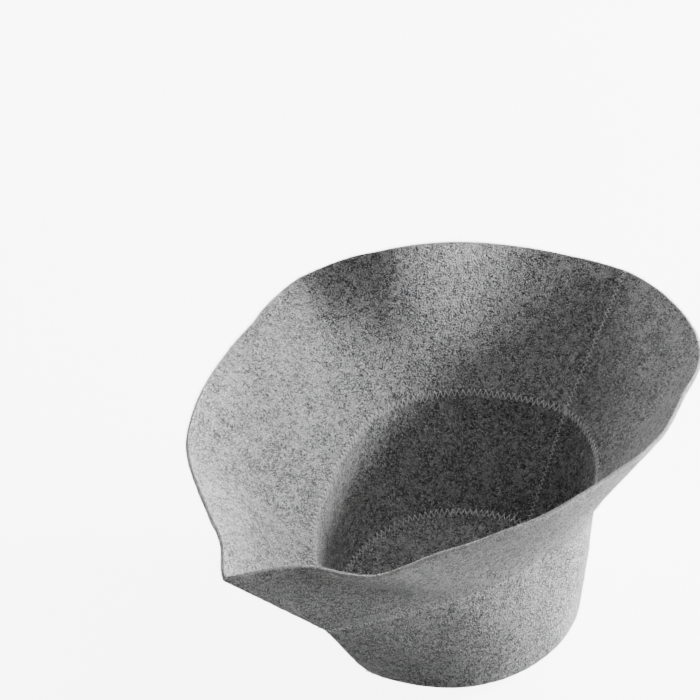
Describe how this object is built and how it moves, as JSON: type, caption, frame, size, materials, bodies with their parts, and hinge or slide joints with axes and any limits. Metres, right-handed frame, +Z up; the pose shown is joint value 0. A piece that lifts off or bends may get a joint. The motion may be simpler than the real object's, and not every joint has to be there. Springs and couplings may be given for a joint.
{
  "type": "felt sauna hat",
  "caption": "Grey wool-blend felt sauna hat with a wide brim, lying crown down on its flat round tip with the brim open upwards.",
  "frame": {"origin": "middle of the flat underside of the round tip, which the hat rests on", "axes": "+Z up, out of the head opening; +X towards the far side seam, -X towards the near, pinched one; +Y towards the back half, -Y towards the front half"},
  "size_m": [0.3683, 0.2826, 0.1685],
  "materials": {
    "grey_felt": "matte needle felt, melange"
  },
  "bodies": {
    "root": {"crown_tip": "grey_felt", "crown_side_back": "grey_felt", "crown_side_front": "grey_felt", "brim_back": "grey_felt", "brim_front": "grey_felt"}
  },
  "joints": []
}
